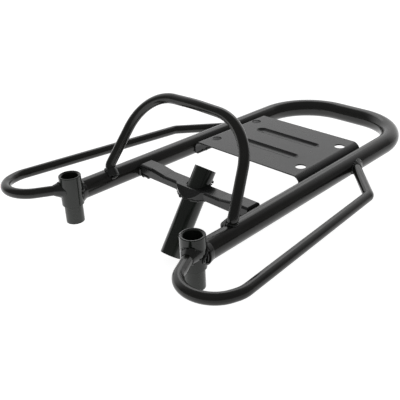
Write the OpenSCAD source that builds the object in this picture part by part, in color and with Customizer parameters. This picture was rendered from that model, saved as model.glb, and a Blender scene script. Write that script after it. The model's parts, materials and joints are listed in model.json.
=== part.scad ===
// Welded tubular luggage carrier for the rear of a moped.
// Two rails and a rear bar are one bent tube. A hoop stands across the front, a guard loop runs round each side,
// and a deck plate and a cross-member join the rails. It hangs on two upright sleeves and one slanted tube.
// Origin: midway between the sleeves, level with the rails' centre lines. +Y runs back along the rails, +Z is up.

/* [Frame] */
// Outside diameter of the main tube
tube_d = 22; // [18:0.5:28]
// Wall of the main tube
tube_wall = 2; // [1:0.25:3]
// Distance between the rails' centre lines at the sleeves
front_spacing = 190; // [158:1:240]
// Distance between the rails' centre lines at the rear bar
rear_spacing = 170; // [140:1:204]
// Distance from the sleeves to the rear bar's centre line
frame_length = 386; // [320:1:480]
// Centre line radius of the two rear corners
corner_radius = 66; // [45:1:80]

/* [Sleeves] */
// How far each sleeve's axis stands inside the end of its rail
sleeve_inset = 1.5; // [0:0.5:4]
// Outside diameter of the collar on each sleeve
collar_d = 24; // [23:0.5:30]
// Outside diameter of the socket tube inside each collar
socket_d = 20; // [19:0.5:21.5]
// Bore of the socket tube
socket_bore = 18; // [14:0.5:18.5]
// Height of the collar's rim above the rails' centre lines
collar_top = 22.5; // [17:0.5:40]
// Depth of the collar's lower edge below the rails' centre lines
collar_bottom = 11.5; // [9:0.5:20]
// Depth of the socket tube's lower end below the rails' centre lines
socket_bottom = 32; // [24:1:60]
// Chamfer on the rims of the sleeves
rim_chamfer = 0.6; // [0.2:0.1:0.7]

/* [Hoop] */
// Outside diameter of the hoop and of the side loops
rod_d = 11; // [8:0.5:12]
// Wall of the hoop and of the side loops
rod_wall = 1.5; // [1:0.25:2.5]
// Distance of the hoop's feet behind the sleeves
hoop_y = 52; // [40:1:64]
// Height of the hoop's upper corners above the rails' centre lines
hoop_height = 91.5; // [70:0.5:130]
// How far the hoop leans back between its knees and its upper corners
hoop_lean = 47; // [20:1:60]
// How far each leg leans inwards on the way up
hoop_taper = 17.5; // [5:0.5:30]
// Rise of the hoop's middle above its corners
hoop_crown = 2.4; // [1:0.1:5]
// Centre line radius of the hoop's upper corners
hoop_radius = 55; // [30:1:60]
// Centre line radius of the bend above each foot
knee_radius = 8; // [7:0.5:9]

/* [Side loops] */
// How far the loop's nose corner stands outside the sleeve
nose_out = 51.5; // [40:0.5:70]
// How far the nose corner stands in front of the sleeves
nose_ahead = 95; // [75:1:120]
// How far the loop's widest corner stands outside the sleeve
side_out = 75.5; // [65:0.5:95]
// How far the widest corner stands in front of the sleeves
side_ahead = 18; // [5:1:30]
// How far the tail corner stands outside the rail
tail_out = 57; // [40:1:70]
// Distance along the rail from the tail corner to the loop's end
tail_run = 48; // [35:1:60]
// Distance from the loop's end forward of the rear bar
end_ahead = 138; // [115:1:166]
// Centre line radius at the nose
nose_radius = 29.5; // [22:0.5:36]
// Centre line radius at the widest corner
side_radius = 31; // [22:0.5:38]
// Centre line radius at the tail
tail_radius = 8; // [7:0.5:14]

/* [Deck plate] */
// Distance of the plate's front edge behind the sleeves
deck_start = 171; // [145:1:180]
// Distance of the plate's rear edge ahead of the rear bar
deck_ahead = 97; // [90:1:120]
// Height of the plate's upper face above the rails' centre lines
deck_top = 10.5; // [7:0.5:13]
// Thickness of the plate
deck_t = 1.5; // [1:0.25:2.5]
// Outside radius of the folds at its sides
deck_fold = 9; // [5:0.5:12]
// Depth of the folded sides below the upper face
deck_side = 15.5; // [14:0.5:18]
// Diameter of the four fixing holes
hole_d = 12; // [6:0.5:14]
// Distance of the holes from the rails' inner sides
hole_inset = 14.5; // [13:0.5:30]
// Distance of the holes from the plate's front and rear edges
hole_edge = 22.5; // [15:0.5:30]
// Width of the two pressed grooves
groove_w = 14; // [9:0.5:16]
// Depth of the grooves
groove_depth = 3; // [1.5:0.25:4]
// Length of the grooves
groove_l = 92; // [50:1:100]

/* [Cross-member] */
// Distance of its middle behind the sleeves
cross_y = 95; // [85:1:104]
// Width along the rails
cross_w = 19; // [16:0.5:26]
// Thickness of its sheet
cross_t = 2; // [1.5:0.25:2.5]
// Height of its upper face at the rails, above the rails' centre lines
cross_top = 8.5; // [6:0.5:10]
// How far its middle is pressed down
cross_dip = 3; // [1:0.5:4]
// Depth of its lower edge below the rails' centre lines
cross_bottom = 3.5; // [1:0.5:5]
// Outside radius of its long folds
cross_fold = 3; // [2.6:0.2:3.6]
// Half the length of the pressed middle
dip_half = 42; // [30:1:46]
// Length of each slope beside it
dip_slope = 20; // [12:1:22]

/* [Centre tube] */
// Outside diameter
centre_d = 24; // [18:0.5:28]
// Bore
centre_bore = 20; // [15:0.5:24]
// Length
centre_l = 100; // [80:1:160]
// Length above the cross-member's mid plane
centre_above = 27; // [20:1:40]
// Lean from upright, lower end forward, in degrees
centre_lean = 35; // [20:1:42]
// Depth at which its axis crosses the cross-member's mid plane
centre_drop = 3.5; // [0:0.5:10]
// Gap round it in the cross-member
centre_gap = 1; // [0.3:0.1:1.5]
// Thickness of the cross-member's front side where it is pressed out round the tube
bulge_t = 1.2; // [0.8:0.1:2]
// How far the pressed-out part reaches past the tube on each side
bulge_side = 8; // [5:0.5:14]

/* [Welds] */
// Width of the fillets round the rails and sleeves
weld_w = 3.5; // [2:0.25:4]

/* [Hidden] */
$fn = 64;
black = [0.09, 0.09, 0.09];
grey = [0.2, 0.21, 0.2];

big = 400;
// Length of rail, each way from a joint, that is cut out of what is welded to it
joint_reach = 40;
// Straight stretches reach this far into each bend, and a bend is this much fatter, so that they join cleanly
lap = 0.2;
bend_step = 0.02;
// Sheet sides and rails stay this far apart
sheet_gap = 0.1;

tube_r = tube_d / 2;
rod_r = rod_d / 2;
collar_r = collar_d / 2;
rail_slope = (front_spacing - rear_spacing) / 2 / frame_length;
rail_turn = atan(rail_slope);
// The rails' ends are cut back to the collars, and start this far behind the sleeves' axes
rail_start = collar_r / 2;
function rail_x(y) = front_spacing / 2 - rail_slope * y;
sleeve_x = front_spacing / 2 - sleeve_inset;
loop_end_y = frame_length - end_ahead;
deck_end = frame_length - deck_ahead;
deck_l = deck_end - deck_start;

rail_path = [
    [rail_x(rail_start), rail_start, 0],
    [rail_x(frame_length), frame_length, 0],
    [-rail_x(frame_length), frame_length, 0],
    [-rail_x(rail_start), rail_start, 0]
];

// Knees and feet stand this far inside the rail's centre line, behind hoop_y and above the rail's top
knee_in = 0.7;
knee_back = 1;
knee_above = 4.3;
foot_in = 5.3;
foot_back = -0.5;
foot_above = -6.2;
knee = [rail_x(hoop_y) - knee_in, hoop_y + knee_back, tube_r + knee_above];
foot = [rail_x(hoop_y) - foot_in, hoop_y + foot_back, tube_r + foot_above];
top_corner = [knee[0] - hoop_taper, knee[1] + hoop_lean, hoop_height];
crown = [0, top_corner[1], hoop_height + hoop_crown];
crown_radius = 300;
hoop_path = [foot, knee, top_corner, crown, flip(top_corner), flip(knee), flip(foot)];

// The loops' ends run into the sleeves and rails, and are cut back to their surfaces
loop_start_out = 3;
loop_start_ahead = 5;
loop_end_out = 5;
loop_end_back = 5.7;
loop_start_z = 7;
nose_z = 9.4;
side_z = 5.9;
tail_z = -0.6;
loop_end_z = 0.4;
loop_path = [
    [sleeve_x + loop_start_out, -loop_start_ahead, loop_start_z],
    [sleeve_x + nose_out, -nose_ahead, nose_z],
    [sleeve_x + side_out, -side_ahead, side_z],
    [rail_x(loop_end_y) + tail_out, loop_end_y - tail_run, tail_z],
    [rail_x(loop_end_y) + loop_end_out, loop_end_y + loop_end_back, loop_end_z]
];

// The centre tube's axis, upwards, and the point on it inside the cross-member
centre_dir = [0, sin(centre_lean), cos(centre_lean)];
centre_point = [0, cross_y, -centre_drop];

function unit(v) = v / norm(v);
function flip(p) = [-p[0], p[1], p[2]];
function inside_angle(p, i) = acos(unit(p[i - 1] - p[i]) * unit(p[i + 1] - p[i]));
function setback(p, i, radius) = radius / tan(inside_angle(p, i) / 2);

// Places its children at point o, with their axes along x, y and z
module placed(o, x, y, z) {
    multmatrix([
        [x[0], y[0], z[0], o[0]],
        [x[1], y[1], z[1], o[1]],
        [x[2], y[2], z[2], o[2]],
        [0, 0, 0, 1]
    ])
        children();
}

// Places its children at point a with +Z towards b
module aimed(a, b) {
    z = unit(b - a);
    x = unit(cross(abs(z[2]) < 0.9 ? [0, 0, 1] : [0, 1, 0], z));
    placed(a, x, cross(z, x), z)
        children();
}

module bar(a, b, r1, r2) {
    aimed(a, b)
        cylinder(h = norm(b - a), r1 = r1, r2 = r2);
}

// The bend of radius `radius` at corner i of the path p
module bend(p, i, radius, r) {
    u = unit(p[i - 1] - p[i]);
    v = unit(p[i + 1] - p[i]);
    middle = p[i] + unit(u + v) * radius / sin(inside_angle(p, i) / 2);
    x = unit(p[i] + u * setback(p, i, radius) - middle);
    placed(middle, x, -u, cross(x, -u))
        rotate_extrude(angle = 180 - inside_angle(p, i), $fn = 120)
            translate([radius, 0])
                circle(r = r + bend_step, $fn = $fn / 2);
}

// A round bar of radius r that follows the corners p, with a bend radius at each inner one
module bent_bar(p, radii, r) {
    last = len(p) - 1;
    for (i = [0 : last - 1]) {
        u = unit(p[i + 1] - p[i]);
        a = i == 0 ? p[i] : p[i] + u * (setback(p, i, radii[i - 1]) - lap);
        b = i == last - 1 ? p[i + 1] : p[i + 1] - u * (setback(p, i + 1, radii[i]) - lap);
        bar(a, b, r, r);
    }
    for (i = [1 : last - 1])
        bend(p, i, radii[i - 1], r);
}

module bent_tube(p, radii, r, wall) {
    difference() {
        bent_bar(p, radii, r);
        bent_bar(p, radii, r - wall);
    }
}

// A stretch of one rail as a solid bar, for cutting what is welded to it
module rail_body(y1, y2) {
    bar([rail_x(y1), y1, 0], [rail_x(y2), y2, 0], tube_r, tube_r);
}

module rail_at(y) {
    rail_body(y - joint_reach, y + joint_reach);
}

module collar_body() {
    translate([sleeve_x, 0, -collar_bottom])
        cylinder(h = collar_bottom + collar_top, r = collar_r);
}

// A whole sleeve as a solid, for cutting what is welded to it
module sleeve_body() {
    collar_body();
    translate([sleeve_x, 0, -socket_bottom])
        cylinder(h = socket_bottom, r = socket_d / 2);
}

module both_sides() {
    children();
    mirror([1, 0, 0])
        children();
}

module on_side(side) {
    if (side > 0)
        children();
    else
        mirror([1, 0, 0])
            children();
}

module main_tube() {
    color(black)
        difference() {
            bent_tube(rail_path, [corner_radius, corner_radius], tube_r, tube_wall);
            both_sides()
                sleeve_body();
        }
}

module hoop() {
    radii = [knee_radius, hoop_radius, crown_radius, hoop_radius, knee_radius];
    color(black)
        difference() {
            bent_tube(hoop_path, radii, rod_r, rod_wall);
            both_sides()
                rail_at(hoop_y);
        }
}

module side_loop(side) {
    on_side(side)
        color(black)
            difference() {
                bent_tube(loop_path, [nose_radius, side_radius, tail_radius], rod_r, rod_wall);
                sleeve_body();
                rail_at(loop_end_y);
            }
}

// Outline of a folded sheet seen along its folds: rounded upper corners, half-width w, top at z = 0
module fold_outline(w, depth, r) {
    for (s = [-1, 1])
        translate([s * (w - r), -r])
            circle(r = r);
    translate([r - w, -depth])
        square([2 * (w - r), depth]);
    translate([-w, -depth])
        square([2 * w, depth - r]);
}

// Each half of the deck follows its own rail from this distance off the middle, and runs past the middle by half_lap
half_off = 4;
half_lap = 10;
half_w = (rail_x(deck_start) - half_off) * cos(rail_turn) - tube_r - sheet_gap;

// The half of the deck that follows one rail, filled underneath down to its lower edge
module deck_half(inset) {
    placed([half_off, deck_start, deck_top - inset], [1, 0, 0], [0, 0, 1], [0, 1, 0])
        rotate([0, -rail_turn, 0])
            translate([0, 0, -half_lap])
                linear_extrude(deck_l + 2 * half_lap)
                    intersection() {
                        fold_outline(half_w - inset, deck_side, deck_fold - inset);
                        translate([-half_lap, -deck_side])
                            square([2 * half_w, 2 * deck_side]);
                    }
}

// A round bar along X with half balls at its ends, for pressing a groove whose lowest line is r below z
module groove(y, r, z) {
    reach = groove_l / 2 - groove_w / 2;
    translate([0, y, z])
        rotate([0, 90, 0])
            cylinder(h = 2 * (reach + lap), r = r, center = true);
    for (s = [0, 1])
        translate([reach - 2 * reach * s, y, z])
            rotate([0, 0, 180 * s - 90])
                rotate_extrude(angle = 180)
                    intersection() {
                        circle(r = r + bend_step);
                        translate([0, -2 * r])
                            square([2 * r, 4 * r]);
                    }
}

module deck_plate() {
    groove_r = (groove_w * groove_w / 4 + groove_depth * groove_depth) / 2 / groove_depth;
    groove_z = deck_top + groove_r - groove_depth;
    hole_x = rail_x((deck_start + deck_end) / 2) - tube_r - hole_inset;
    color(grey)
        difference() {
            intersection() {
                translate([-big / 2, deck_start, -big / 2])
                    cube([big, deck_l, big]);
                union() {
                    difference() {
                        both_sides()
                            deck_half(0);
                        both_sides()
                            deck_half(deck_t);
                    }
                    for (i = [1, 2])
                        intersection() {
                            groove(deck_start + i * deck_l / 3, groove_r + deck_t, groove_z);
                            translate([-big / 2, deck_start, deck_top - deck_t / 2 - 2 * groove_depth])
                                cube([big, deck_l, 2 * groove_depth]);
                        }
                }
            }
            for (i = [1, 2])
                groove(deck_start + i * deck_l / 3, groove_r, groove_z);
            for (s = [-1, 1], y = [deck_start + hole_edge, deck_end - hole_edge])
                translate([s * hole_x, y, 0])
                    cylinder(h = big / 2, r = hole_d / 2);
        }
}

cross_end = rail_x(cross_y + cross_w / 2) - tube_r - sheet_gap;
dip_turn = atan(cross_dip / dip_slope);

// A straight run of the cross-member's outline, from x1 to x2, turned up by `turn` about its start
module cross_run(x1, x2, z, turn, inset) {
    placed([x1, cross_y, z - inset], [0, 1, 0], [0, 0, 1], [1, 0, 0])
        rotate([-turn, 0, 0])
            translate([0, 0, -cross_w])
                linear_extrude(x2 - x1 + 2 * cross_w)
                    fold_outline(cross_w / 2 - inset, 2 * cross_w, cross_fold - inset);
}

// The space beyond x at the level z, cut by the plane that halves the angle between a slope and a level run
module beyond(x, z) {
    translate([x, 0, z])
        rotate([0, -dip_turn / 2, 0])
            translate([0, -big / 2, -big / 2])
                cube(big);
}

// The cross-member's outer form, or with inset the space inside its sheet
module cross_form(inset) {
    low = cross_top - cross_dip;
    dip_end = dip_half + dip_slope;
    over = lap + (low + cross_bottom) * tan(dip_turn / 2);
    intersection() {
        union() {
            intersection() {
                cross_run(-dip_half, dip_half, low, 0, inset);
                translate([0, cross_y, 0])
                    cube([2 * (dip_half + over), big, big], center = true);
            }
            both_sides() {
                difference() {
                    intersection() {
                        cross_run(dip_half, dip_end, low + bend_step, dip_turn, inset - bend_step);
                        beyond(dip_half, low);
                    }
                    beyond(dip_end, cross_top);
                }
                intersection() {
                    cross_run(dip_end, cross_end, cross_top, 0, inset);
                    beyond(dip_end - lap / 4, cross_top);
                }
            }
        }
        placed([0, cross_y + cross_w, cross_top + 1 - inset], [1, 0, 0], [0, 0, 1], [0, -1, 0])
            linear_extrude(2 * cross_w)
                fold_outline(cross_end - inset, cross_top + 1 - inset + cross_bottom, cross_fold + 1 - inset);
    }
}

// The cross-member's front side is pressed out round the centre tube: an arc from above, leaning like the tube
bulge_off = centre_d / 2 + centre_gap + bulge_t;
front_y = cross_y - cross_w / 2;
bulge_y = cross_y + (centre_drop - cross_bottom) * tan(centre_lean) - bulge_off / cos(centre_lean);
bulge_half = centre_d / 2 + bulge_side;
bulge_r = (pow(bulge_half, 2) + pow(front_y - bulge_y, 2)) / 2 / (front_y - bulge_y);

module cross_bulge(inset) {
    low = cross_top - cross_dip;
    bottom = inset == 0 ? bend_step - cross_bottom : -big;
    intersection() {
        translate([0, bulge_y + bulge_r, bottom])
            cylinder(h = low - inset - bend_step - bottom, r = bulge_r - inset);
        placed(centre_point, [1, 0, 0], [0, cos(centre_lean), -sin(centre_lean)], centre_dir)
            translate([-big / 2, inset - bulge_off, -big])
                cube([big, big, 2 * big]);
        translate([-big / 2, front_y + cross_fold - big, -big])
            cube([big, big, 2 * big]);
    }
}

module cross_member() {
    color(grey)
        difference() {
            union() {
                cross_form(0);
                cross_bulge(0);
            }
            cross_form(cross_t);
            cross_bulge(cross_t);
            centre_bar(centre_d / 2 + centre_gap, 5);
        }
}

// A solid bar on the centre tube's axis, longer than the tube by extra at each end
module centre_bar(r, extra) {
    top = centre_point + centre_dir * (centre_above + extra);
    bottom = centre_point - centre_dir * (centre_l - centre_above + extra);
    bar(bottom, top, r, r);
}

module centre_tube() {
    color(grey)
        difference() {
            centre_bar(centre_d / 2, 0);
            centre_bar(centre_bore / 2, 1);
        }
}

module collar(side) {
    wall = (collar_d - socket_d) / 2;
    color(grey)
        translate([side * sleeve_x, 0, 0])
            rotate_extrude()
                polygon([
                    [socket_d / 2, -collar_bottom],
                    [collar_r - rim_chamfer, -collar_bottom],
                    [collar_r, rim_chamfer - collar_bottom],
                    [collar_r, collar_top - rim_chamfer],
                    [collar_r - rim_chamfer, collar_top],
                    [socket_d / 2 + wall / 4, collar_top],
                    [socket_d / 2, collar_top - wall / 4]
                ]);
}

module socket_tube(side) {
    top = collar_top - rim_chamfer;
    bore_r = socket_bore / 2;
    color(grey)
        translate([side * sleeve_x, 0, 0])
            rotate_extrude()
                polygon([
                    [bore_r, -socket_bottom],
                    [socket_d / 2, -socket_bottom],
                    [socket_d / 2, top],
                    [bore_r + rim_chamfer, top],
                    [bore_r, top - rim_chamfer]
                ]);
}

// Welds thin out to this
weld_edge = 0.3;

// Fillet round the end of a rail, against the collar
module rail_weld(side) {
    start = (socket_d - weld_w) / 2;
    end = collar_r + 0.8 * weld_w;
    spread = 0.5 * weld_w;
    on_side(side)
        color(black)
            difference() {
                bar([rail_x(start), start, 0], [rail_x(end), end, 0], tube_r + spread, tube_r + weld_edge);
                rail_body(0, 2 * end);
                sleeve_body();
            }
}

// Fillet round the end of a thin tube, from point a on its centre line towards b
module rod_weld(a, b, reach, spread) {
    end = a + unit(b - a) * reach;
    difference() {
        bar(a, end, rod_r + spread, rod_r + weld_edge);
        bar(a - unit(b - a), end + unit(b - a), rod_r, rod_r);
        children();
    }
}

module loop_front_weld(side) {
    on_side(side)
        color(black)
            rod_weld(loop_path[0], loop_path[1], 3.8 * weld_w, 1.6 * weld_w)
                sleeve_body();
}

module loop_rear_weld(side) {
    on_side(side)
        color(black)
            rod_weld(loop_path[4], loop_path[3], 3.1 * weld_w, 0.9 * weld_w)
                rail_at(loop_end_y);
}

module hoop_weld(side) {
    on_side(side)
        color(black)
            rod_weld(foot, knee, 2.4 * weld_w, 0.9 * weld_w)
                rail_at(hoop_y);
}

// Two runs of bead under each side of the deck plate, between its lower edge and the rail
module deck_weld(side) {
    run = deck_l / 5;
    margin = deck_l / 30;
    bead_r = 0.7 * weld_w;
    bead_z = deck_top - deck_side - bead_r / 4;
    on_side(side)
        color(black)
            for (y = [deck_start + margin, deck_end - margin - run])
                difference() {
                    bar(
                        [rail_x(y) - tube_r, y, bead_z], [rail_x(y + run) - tube_r, y + run, bead_z],
                        bead_r, bead_r
                    );
                    rail_body(deck_start - margin, deck_end + margin);
                    deck_half(0);
                }
}

// Beads at the cross-member's ends: upright in the corners against the rail, and level under the sheet's edges
module cross_weld(side) {
    bead_r = 0.6 * weld_w;
    run = 3.5 * weld_w;
    edge = (cross_w - cross_t) / 2;
    on_side(side)
        color(black)
            for (s = [-1, 1])
                difference() {
                    union() {
                        translate([cross_end - weld_edge, cross_y + s * cross_w / 2, -cross_bottom - bead_r / 2])
                            cylinder(h = cross_bottom + cross_top / 2, r = bead_r);
                        translate([cross_end - run, cross_y + s * edge, -cross_bottom])
                            rotate([0, 90, 0])
                                cylinder(h = run + bead_r, r = bead_r);
                    }
                    rail_at(cross_y);
                    cross_form(0);
                }
}

// Bead round the centre tube under the cross-member
module centre_tube_weld() {
    bead = 0.75 * weld_w;
    color(black)
        difference() {
            intersection() {
                centre_bar(centre_d / 2 + bead, 0);
                translate([-big / 2, -big / 2, -cross_bottom - bead / 2])
                    cube([big, big, bead / 2]);
            }
            centre_bar(centre_d / 2, 1);
        }
}

main_tube();
hoop();
side_loop(-1);  // left_side_loop
side_loop(1);  // right_side_loop
deck_plate();
cross_member();
centre_tube();
collar(-1);  // left_collar
collar(1);  // right_collar
socket_tube(-1);  // left_socket_tube
socket_tube(1);  // right_socket_tube
rail_weld(-1);  // left_rail_weld
rail_weld(1);  // right_rail_weld
loop_front_weld(-1);  // left_loop_front_weld
loop_front_weld(1);  // right_loop_front_weld
loop_rear_weld(-1);  // left_loop_rear_weld
loop_rear_weld(1);  // right_loop_rear_weld
hoop_weld(-1);  // left_hoop_weld
hoop_weld(1);  // right_hoop_weld
deck_weld(-1);  // left_deck_weld
deck_weld(1);  // right_deck_weld
cross_weld(-1);  // left_cross_weld
cross_weld(1);  // right_cross_weld
centre_tube_weld();
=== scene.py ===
# Welded luggage carrier: paint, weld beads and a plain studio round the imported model
import bpy
import bmesh
import json
import math
import random
from mathutils import Matrix, Vector


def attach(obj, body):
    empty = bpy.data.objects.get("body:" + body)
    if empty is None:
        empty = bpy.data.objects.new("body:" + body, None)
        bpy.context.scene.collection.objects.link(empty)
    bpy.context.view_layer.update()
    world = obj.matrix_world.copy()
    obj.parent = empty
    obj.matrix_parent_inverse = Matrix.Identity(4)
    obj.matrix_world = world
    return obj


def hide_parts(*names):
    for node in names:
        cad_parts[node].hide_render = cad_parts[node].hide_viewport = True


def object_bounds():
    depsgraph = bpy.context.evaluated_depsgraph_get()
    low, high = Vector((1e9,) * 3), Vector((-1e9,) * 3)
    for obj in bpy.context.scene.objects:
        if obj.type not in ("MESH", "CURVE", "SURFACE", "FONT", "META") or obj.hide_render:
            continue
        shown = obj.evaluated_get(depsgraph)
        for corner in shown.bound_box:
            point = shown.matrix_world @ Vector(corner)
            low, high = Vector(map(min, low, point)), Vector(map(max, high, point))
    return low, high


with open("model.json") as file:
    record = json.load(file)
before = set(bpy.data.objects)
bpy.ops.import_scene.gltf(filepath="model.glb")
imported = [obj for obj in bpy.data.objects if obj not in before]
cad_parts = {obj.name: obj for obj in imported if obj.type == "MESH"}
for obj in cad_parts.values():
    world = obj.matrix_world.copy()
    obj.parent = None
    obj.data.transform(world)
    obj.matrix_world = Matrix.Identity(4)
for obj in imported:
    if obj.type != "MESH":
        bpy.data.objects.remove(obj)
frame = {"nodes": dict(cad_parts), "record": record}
nodes = frame["nodes"]
cadBox = [list(corner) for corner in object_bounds()]
mm = 0.001  # the carrier's own sizes are in millimetres, the scene is in metres

# where the camera stands and how it is turned, in metres and degrees
cameraSet = {
    "place": (0.4628, -0.3402, 0.3174),
    "azimuth": 46.8747,
    "elevation": 26.5906,
    "roll": -2.9287,
    "lens": 59.73,
    "sensor": 36,
    "shift": (0.0128, -0.0262),
    "nearest": 0.01,
}


def makeCamera(s):
    azimuth, elevation, roll = (math.radians(s[key]) for key in ("azimuth", "elevation", "roll"))
    level = math.cos(elevation)
    back = Vector((math.sin(azimuth) * level, -math.cos(azimuth) * level, math.sin(elevation)))
    side = Vector((0, 0, 1)).cross(back).normalized()
    up = back.cross(side)
    right = math.cos(roll) * side + math.sin(roll) * up
    top = math.cos(roll) * up - math.sin(roll) * side
    data = bpy.data.cameras.new("camera")
    data.lens = s["lens"]
    data.sensor_width = s["sensor"]
    data.shift_x, data.shift_y = s["shift"]
    data.clip_start = s["nearest"]
    camera = bpy.data.objects.new("camera", data)
    camera.matrix_world = Matrix.Translation(s["place"]) @ Matrix((right, top, back)).transposed().to_4x4()
    bpy.context.scene.collection.objects.link(camera)
    bpy.context.scene.camera = camera


makeCamera(cameraSet)
print("camera placed")


def addNode(tree, kind, values=None, **settings):
    node = tree.nodes.new(kind)
    for key, value in settings.items():
        setattr(node, key, value)
    for key, value in (values or {}).items():
        node.inputs[key].default_value = value
    return node


def addRange(tree, span, result):
    # turns a value within the span into one within the result
    return addNode(tree, "ShaderNodeMapRange",
                   {"From Min": span[0], "From Max": span[1], "To Min": result[0], "To Max": result[1]})


def newGroup(name, inputs, outputs):
    group = bpy.data.node_groups.new(name, "ShaderNodeTree")
    for label, kind, value in inputs:
        group.interface.new_socket(label, in_out="INPUT", socket_type=kind).default_value = value
    for label, kind in outputs:
        group.interface.new_socket(label, in_out="OUTPUT", socket_type=kind)
    return group, group.nodes.new("NodeGroupInput"), group.nodes.new("NodeGroupOutput")


# what all the paints share: clouds that shift gloss and colour a little, and specks of settled dust
coatSet = {
    "peelDetail": 3.0, "peelRough": 0.55,
    "cloudScale": 38.0, "cloudDetail": 4.0, "cloudRough": 0.6,
    "cloudSpan": (0.35, 0.7), "cloudDust": (0.0, 0.14),
    "glossSpan": (0.3, 0.7), "glossShift": (-0.05, 0.06),
    "speckScale": 1500.0, "speckDetail": 1.0, "speckSpan": (0.66, 0.74), "speckDust": (0.0, 0.35),
}


def makePowderCoat(s):
    group, given, result = newGroup(
        "powderCoat",
        [("Tint", "NodeSocketColor", (0.02, 0.02, 0.02, 1)), ("Dust", "NodeSocketColor", (0.1, 0.1, 0.1, 1)),
         ("Grain", "NodeSocketFloat", 900.0), ("Rough", "NodeSocketFloat", 0.35)],
        [("Color", "NodeSocketColor"), ("Roughness", "NodeSocketFloat"), ("Height", "NodeSocketFloat")])
    link = group.links.new
    place = addNode(group, "ShaderNodeTexCoord")
    peel = addNode(group, "ShaderNodeTexNoise", {"Detail": s["peelDetail"], "Roughness": s["peelRough"]})
    clouds = addNode(group, "ShaderNodeTexNoise",
                     {"Scale": s["cloudScale"], "Detail": s["cloudDetail"], "Roughness": s["cloudRough"]})
    specks = addNode(group, "ShaderNodeTexNoise", {"Scale": s["speckScale"], "Detail": s["speckDetail"]})
    for texture in (peel, clouds, specks):
        link(place.outputs["Object"], texture.inputs["Vector"])
    link(given.outputs["Grain"], peel.inputs["Scale"])
    speckMask = addRange(group, s["speckSpan"], s["speckDust"])
    link(specks.outputs["Fac"], speckMask.inputs["Value"])
    cloudMask = addRange(group, s["cloudSpan"], s["cloudDust"])
    link(clouds.outputs["Fac"], cloudMask.inputs["Value"])
    both = addNode(group, "ShaderNodeMath", operation="ADD")
    link(speckMask.outputs["Result"], both.inputs[0])
    link(cloudMask.outputs["Result"], both.inputs[1])
    colour = addNode(group, "ShaderNodeMix", data_type="RGBA")
    link(both.outputs[0], colour.inputs["Factor"])
    link(given.outputs["Tint"], colour.inputs["A"])
    link(given.outputs["Dust"], colour.inputs["B"])
    link(colour.outputs["Result"], result.inputs["Color"])
    gloss = addRange(group, s["glossSpan"], s["glossShift"])
    link(clouds.outputs["Fac"], gloss.inputs["Value"])
    rough = addNode(group, "ShaderNodeMath", operation="ADD", use_clamp=True)
    link(given.outputs["Rough"], rough.inputs[0])
    link(gloss.outputs["Result"], rough.inputs[1])
    link(rough.outputs[0], result.inputs["Roughness"])
    link(peel.outputs["Fac"], result.inputs["Height"])
    return group


powderCoat = makePowderCoat(coatSet)

# one entry for each finish: tint, dust colour, roughness, and the grain and depth (mm) of its orange peel
finishes = {
    "tube_paint": {"tint": (0.0112, 0.0110, 0.0095), "dust": (0.04, 0.04, 0.04),
                   "rough": 0.17, "grain": 700, "peel": 0.02},
    "rod_paint": {"tint": (0.0118, 0.0118, 0.0100), "dust": (0.04, 0.04, 0.04),
                  "rough": 0.17, "grain": 900, "peel": 0.02},
    "deck_paint": {"tint": (0.012, 0.012, 0.0125), "dust": (0.05, 0.05, 0.05),
                   "rough": 0.24, "grain": 800, "peel": 0.03},
    "cross_paint": {"tint": (0.012, 0.0125, 0.0125), "dust": (0.05, 0.05, 0.05),
                    "rough": 0.24, "grain": 800, "peel": 0.03},
    "centre_paint": {"tint": (0.0115, 0.0145, 0.0115), "dust": (0.04, 0.045, 0.04),
                     "rough": 0.16, "grain": 800, "peel": 0.02},
    "collar_paint": {"tint": (0.0118, 0.0150, 0.0118), "dust": (0.05, 0.055, 0.05),
                     "rough": 0.16, "grain": 800, "peel": 0.02},
    "socket_steel": {"tint": (0.0160, 0.0195, 0.0155), "dust": (0.06, 0.065, 0.06),
                     "rough": 0.28, "grain": 1000, "peel": 0.03},
    "weld_paint": {"tint": (0.012, 0.013, 0.012), "dust": (0.05, 0.05, 0.05),
                   "rough": 0.16, "grain": 900, "peel": 0.04},
}


def makeFinish(name, s):
    material = bpy.data.materials.new(name)
    material.use_nodes = True
    tree = material.node_tree
    skin = tree.nodes["Principled BSDF"]
    coat = addNode(tree, "ShaderNodeGroup", node_tree=powderCoat)
    coat.inputs["Tint"].default_value = (*s["tint"], 1)
    coat.inputs["Dust"].default_value = (*s["dust"], 1)
    coat.inputs["Grain"].default_value = s["grain"]
    coat.inputs["Rough"].default_value = s["rough"]
    bump = addNode(tree, "ShaderNodeBump", {"Strength": 1.0, "Distance": s["peel"] * mm})
    tree.links.new(coat.outputs["Color"], skin.inputs["Base Color"])
    tree.links.new(coat.outputs["Roughness"], skin.inputs["Roughness"])
    tree.links.new(coat.outputs["Height"], bump.inputs["Height"])
    tree.links.new(bump.outputs["Normal"], skin.inputs["Normal"])
    skin.inputs["Metallic"].default_value = 0.0
    skin.inputs["IOR"].default_value = 1.5
    return material


paints = {name: makeFinish(name, s) for name, s in finishes.items()}
slotOf = {s["node"]: s["material_slot"] for s in frame["record"]["subparts"]}
for name, piece in nodes.items():
    for slot in piece.material_slots:
        slot.material = paints[slotOf[name]]
print("paints made:", len(paints))

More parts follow.
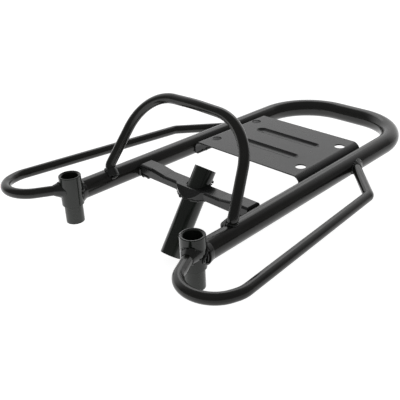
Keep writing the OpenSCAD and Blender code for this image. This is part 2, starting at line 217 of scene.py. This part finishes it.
# places and sizes that the weld beads follow, in millimetres, on the right-hand side where there are two
carrier = {
    "tubeR": 11.0, "rodR": 5.5, "collarR": 12.0,
    "sleeveX": 93.5, "railFront": 95.0, "railSlope": 10 / 386,
    "hoopFoot": (88.35, 51.5, 4.8), "hoopKnee": (92.95, 53.0, 15.3),
    "loopFront": ((96.5, -5.0, 7.0), (145.0, -95.0, 9.4)),
    "loopRear": ((93.57, 253.7, 0.4), (145.57, 200.0, -0.6)),
    "crossY": 95.0, "crossHalf": 9.5, "crossWall": 2.0, "crossLow": -3.5, "crossEnd": 81.3, "crossTop": 5.5,
    "centreR": 12.0, "centrePoint": (0.0, 95.0, -3.5), "centreLean": 35.0,
    "bulgeY": 77.68, "bulgeHalf": 20.0,
    "deck": (171.0, 289.0), "deckLow": -5.0,
}


def sideways(point, side):
    return Vector((side * point[0], point[1], point[2]))


def railX(y):
    return carrier["railFront"] - carrier["railSlope"] * y


def railLine(side):
    # a point on the rail's axis and its direction
    point = Vector((side * carrier["railFront"], 0, 0))
    return point, Vector((-side * carrier["railSlope"], 1, 0)).normalized()


def sleeveLine(side):
    return Vector((side * carrier["sleeveX"], 0, 0)), Vector((0, 0, 1))


def across(axis):
    # two unit vectors square to the axis
    first = axis.orthogonal().normalized()
    return first, axis.cross(first).normalized()


def meetRing(start, axis, radius, through, wall, wallRadius, count):
    # points where a round bar leaves a round wall, going round the bar
    axis, wall = axis.normalized(), wall.normalized()
    first, second = across(axis)
    flat = axis - axis.dot(wall) * wall
    points = []
    for i in range(count):
        turn = 2 * math.pi * i / count
        rim = start + radius * (math.cos(turn) * first + math.sin(turn) * second)
        off = rim - through
        off = off - off.dot(wall) * wall
        half = off.dot(flat)
        inside = half * half - flat.length_squared * (off.length_squared - wallRadius * wallRadius)
        reach = (-half + math.sqrt(max(inside, 0.0))) / flat.length_squared
        points.append(rim + reach * axis)
    return points


def alongLine(start, end, size, count):
    # lumps of one size from start to end
    return [(start.lerp(end, i / (count - 1)), size) for i in range(count)]


# how every bead is laid: the lumps' scatter (mm), their uneven size and squash, then the skin over them
beadSet = {"scatter": 0.35, "uneven": 0.22, "squash": 0.12, "merge": 0.01,
           "voxel": 0.42, "smooth": 0.5, "smoothings": 3}


def layBead(name, node, lumps, seed):
    # the fillet of the model, with lumps of weld melted into it
    s = beadSet
    roll = random.Random(seed)
    shape = bmesh.new()
    shape.from_mesh(nodes[node].data)
    bmesh.ops.remove_doubles(shape, verts=shape.verts, dist=s["merge"] * mm)
    for centre, size in lumps:
        shift = Vector([roll.uniform(-1, 1) * s["scatter"] for _ in range(3)])
        radius = size * (1 + roll.uniform(-1, 1) * s["uneven"])
        squash = [1 + roll.uniform(-s["squash"], s["squash"]) for _ in range(3)]
        place = Matrix.Translation((centre + shift) * mm) @ Matrix.Diagonal((*squash, 1))
        bmesh.ops.create_icosphere(shape, subdivisions=2, radius=radius * mm, matrix=place)
    mesh = bpy.data.meshes.new(name)
    shape.to_mesh(mesh)
    shape.free()
    piece = bpy.data.objects.new(name, mesh)
    bpy.context.scene.collection.objects.link(piece)
    remesh = piece.modifiers.new("skin", "REMESH")
    remesh.mode = "VOXEL"
    remesh.voxel_size = s["voxel"] * mm
    remesh.use_smooth_shade = True
    smooth = piece.modifiers.new("smooth", "SMOOTH")
    smooth.factor = s["smooth"]
    smooth.iterations = s["smoothings"]
    graph = bpy.context.evaluated_depsgraph_get()
    done = bpy.data.meshes.new_from_object(piece.evaluated_get(graph))
    piece.modifiers.clear()
    piece.data = done
    done.name = name
    done.materials.clear()
    done.materials.append(paints["weld_paint"])
    for face in done.polygons:
        face.use_smooth = True
    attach(piece, "root")
    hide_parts(node)


# rings of lumps where a bar meets a round wall, with their distance from both and their radius (mm)
railRing = {"offBar": 0.2, "offWall": 0.3, "lump": 1.5, "count": 52, "seed": 11}
loopFrontRing = {"offBar": 1.4, "offWall": 0.2, "lump": 2.1, "count": 22, "seed": 21}
loopRearRing = {"offBar": 0.6, "offWall": 0.3, "lump": 1.6, "count": 18, "seed": 31}
hoopRing = {"offBar": 0.7, "offWall": 0.3, "lump": 1.7, "count": 18, "seed": 41}


def layRing(name, node, s, side, bar, barRadius, wall, wallRadius):
    # bar and wall are each a point and a direction
    ring = meetRing(*bar, barRadius + s["offBar"], *wall, wallRadius + s["offWall"], s["count"])
    layBead(name, node, [(point, s["lump"]) for point in ring], s["seed"] + side)


def layRings(label, side):
    tubeR, rodR, collarR = carrier["tubeR"], carrier["rodR"], carrier["collarR"]
    rail, sleeve = railLine(side), sleeveLine(side)
    front, frontEnd = (sideways(point, side) for point in carrier["loopFront"])
    rear, rearEnd = (sideways(point, side) for point in carrier["loopRear"])
    foot, knee = sideways(carrier["hoopFoot"], side), sideways(carrier["hoopKnee"], side)
    layRing(label + "RailBead", label + "_rail_weld", railRing, side, rail, tubeR, sleeve, collarR)
    layRing(label + "LoopFrontBead", label + "_loop_front_weld", loopFrontRing, side,
            (front, frontEnd - front), rodR, sleeve, collarR)
    layRing(label + "LoopRearBead", label + "_loop_rear_weld", loopRearRing, side,
            (rear, rearEnd - rear), rodR, rail, tubeR)
    layRing(label + "HoopBead", label + "_hoop_weld", hoopRing, side, (foot, knee - foot), rodR, rail, tubeR)


# two runs of weld under each side of the deck, set in from its front and rear edges, in millimetres
deckRuns = {"inset": 4.0, "length": 24.0, "below": 0.8, "lump": 2.2, "count": 11, "seed": 51}


def layDeckBead(label, side, s):
    lumps = []
    for y in (carrier["deck"][0] + s["inset"], carrier["deck"][1] - s["inset"] - s["length"]):
        ends = [Vector((side * (railX(end) - carrier["tubeR"]), end, carrier["deckLow"] - s["below"]))
                for end in (y, y + s["length"])]
        lumps += alongLine(*ends, s["lump"], s["count"])
    layBead(label + "DeckBead", label + "_deck_weld", lumps, s["seed"] + side)


# runs of weld under the cross-member's ends: from how far inside its end to how far past it, in millimetres
crossRuns = {"inside": 13, "past": 1, "belowStart": 0.3, "belowEnd": 0.8, "lump": 2.0, "count": 8, "seed": 61}


def layCrossBead(label, side, s):
    lumps = []
    for way in (-1, 1):
        y = carrier["crossY"] + way * (carrier["crossHalf"] - carrier["crossWall"] / 2)
        start = Vector((side * (carrier["crossEnd"] - s["inside"]), y, carrier["crossLow"] - s["belowStart"]))
        end = Vector((side * (carrier["crossEnd"] + s["past"]), y, carrier["crossLow"] - s["belowEnd"]))
        lumps += alongLine(start, end, s["lump"], s["count"])
    layBead(label + "CrossBead", label + "_cross_weld", lumps, s["seed"] + side)


# weld round the centre tube: a ring under the strip, runs along the pressed-out edge, short runs on top
centreSet = {
    "ring": {"off": 0.8, "below": 0.6, "lump": 1.3, "count": 30},
    "edge": {"start": 0.42, "step": 0.075, "below": 1.3, "rise": 0.1, "lump": 2.0, "taper": 0.1, "count": 9},
    "top": {"off": 0.7, "below": 0.9, "turn": 0.22, "lump": 1.1, "count": 7},
    "seed": 71,
}


def layCentreBead(s):
    lean = math.radians(carrier["centreLean"])
    axis = Vector((0, math.sin(lean), math.cos(lean)))
    middle = Vector(carrier["centrePoint"])
    first, second = across(axis)

    def onTube(off, turn, side, z):
        # the point at a height z, off the tube's surface
        radius = carrier["centreR"] + off
        rim = middle + radius * (math.cos(turn) * side * first + math.sin(turn) * second)
        return rim + axis * ((z - rim.z) / axis.z)

    ring, edge, top = s["ring"], s["edge"], s["top"]
    lumps = []
    for i in range(ring["count"]):
        turn = 2 * math.pi * i / ring["count"]
        lumps.append((onTube(ring["off"], turn, 1, carrier["crossLow"] - ring["below"]), ring["lump"]))
    depth = carrier["crossY"] - carrier["crossHalf"] - carrier["bulgeY"]
    bulgeR = (carrier["bulgeHalf"] ** 2 + depth ** 2) / 2 / depth
    for side in (-1, 1):
        for i in range(edge["count"]):
            # outwards from the tube, along the arc of the pressed-out side, in ever smaller lumps
            x = carrier["bulgeHalf"] * (edge["start"] + edge["step"] * i)
            y = carrier["bulgeY"] + bulgeR - math.sqrt(bulgeR ** 2 - x ** 2) + carrier["crossWall"] / 2
            z = carrier["crossLow"] - edge["below"] + edge["rise"] * i
            lumps.append((Vector((side * x, y, z)), edge["lump"] - edge["taper"] * i))
        for i in range(top["count"]):
            turn = (i - top["count"] // 2) * top["turn"]
            lumps.append((onTube(top["off"], turn, side, carrier["crossTop"] - top["below"]), top["lump"]))
    layBead("centreBead", "centre_tube_weld", lumps, s["seed"])


for label, side in (("left", -1), ("right", 1)):
    layRings(label, side)
    layDeckBead(label, side, deckRuns)
    layCrossBead(label, side, crossRuns)
layCentreBead(centreSet)
print("weld beads laid")

# the paper floor glows; in reflections its glow fades towards the carrier's right, from one X to another (m)
floorSet = {
    "size": 14.0, "middleY": 0.2, "gap": 0.0002, "tint": (0.5, 0.5, 0.5), "rough": 0.9, "shine": 0.1,
    "glow": 0.92, "glowRight": 0.5, "fade": (0.06, 0.3),
}


def makePaper(s):
    paper = bpy.data.materials.new("paper")
    paper.use_nodes = True
    tree = paper.node_tree
    link = tree.links.new
    skin = tree.nodes["Principled BSDF"]
    skin.inputs["Base Color"].default_value = (*s["tint"], 1)
    skin.inputs["Roughness"].default_value = s["rough"]
    skin.inputs["Specular IOR Level"].default_value = s["shine"]
    skin.inputs["Emission Color"].default_value = (1, 1, 1, 1)
    place = addNode(tree, "ShaderNodeTexCoord")
    split = addNode(tree, "ShaderNodeSeparateXYZ")
    link(place.outputs["Object"], split.inputs["Vector"])
    fade = addRange(tree, s["fade"], (s["glow"], s["glowRight"]))
    link(split.outputs["X"], fade.inputs["Value"])
    ray = addNode(tree, "ShaderNodeLightPath")
    shown = addNode(tree, "ShaderNodeMix", {"B": s["glow"]}, data_type="FLOAT")
    link(ray.outputs["Is Camera Ray"], shown.inputs["Factor"])
    link(fade.outputs["Result"], shown.inputs["A"])
    link(shown.outputs["Result"], skin.inputs["Emission Strength"])
    return paper


def makeFloor(s):
    shape = bmesh.new()
    place = Matrix.Translation((0, s["middleY"], cadBox[0][2] - s["gap"]))
    bmesh.ops.create_grid(shape, x_segments=1, y_segments=1, size=s["size"] / 2, matrix=place)
    mesh = bpy.data.meshes.new("floor")
    shape.to_mesh(mesh)
    shape.free()
    floor = bpy.data.objects.new("floor", mesh)
    bpy.context.scene.collection.objects.link(floor)
    mesh.materials.append(makePaper(s))


# light from all round: the backdrop behind the carrier is bright, the front and the ceiling are dim;
# a span is where one turns into the other, and seen is what the camera itself sees
airSet = {
    "behind": (-0.73, 0.683, 0.0), "behindSpan": (0.18, 0.65), "backdrop": 1.0, "front": 0.17,
    "highSpan": (0.6, 0.85), "ceiling": 0.22, "seen": 1.0,
}


def makeAir(s):
    world = bpy.data.worlds.new("studioAir")
    world.use_nodes = True
    bpy.context.scene.world = world
    tree = world.node_tree
    link = tree.links.new
    way = addNode(tree, "ShaderNodeTexCoord")
    facing = addNode(tree, "ShaderNodeVectorMath", {1: s["behind"]}, operation="DOT_PRODUCT")
    link(way.outputs["Generated"], facing.inputs[0])
    behind = addRange(tree, s["behindSpan"], (s["front"], s["backdrop"]))
    link(facing.outputs["Value"], behind.inputs["Value"])
    split = addNode(tree, "ShaderNodeSeparateXYZ")
    link(way.outputs["Generated"], split.inputs["Vector"])
    high = addRange(tree, s["highSpan"], (0.0, 1.0))
    link(split.outputs["Z"], high.inputs["Value"])
    glow = addNode(tree, "ShaderNodeMix", {"B": s["ceiling"]}, data_type="FLOAT")
    link(high.outputs["Result"], glow.inputs["Factor"])
    link(behind.outputs["Result"], glow.inputs["A"])
    ray = addNode(tree, "ShaderNodeLightPath")
    shown = addNode(tree, "ShaderNodeMix", {"B": s["seen"]}, data_type="FLOAT")
    link(ray.outputs["Is Camera Ray"], shown.inputs["Factor"])
    link(glow.outputs["Result"], shown.inputs["A"])
    link(shown.outputs["Result"], tree.nodes["Background"].inputs["Color"])
    bpy.context.scene.view_settings.view_transform = "Standard"


# place, aim and size in metres, power in watts
lampSet = {"place": (-0.9, 1.3, 1.3), "aim": (0, 0.15, 0), "size": (1.2, 0.8), "power": 3}


def makeLamp(s):
    data = bpy.data.lights.new("backSoftbox", "AREA")
    data.shape = "RECTANGLE"
    data.size, data.size_y = s["size"]
    data.energy = s["power"]
    lamp = bpy.data.objects.new("backSoftbox", data)
    turn = (Vector(s["place"]) - Vector(s["aim"])).to_track_quat("Z", "Y").to_matrix().to_4x4()
    lamp.matrix_world = Matrix.Translation(s["place"]) @ turn
    bpy.context.scene.collection.objects.link(lamp)


makeFloor(floorSet)
makeAir(airSet)
makeLamp(lampSet)
print("studio lit")
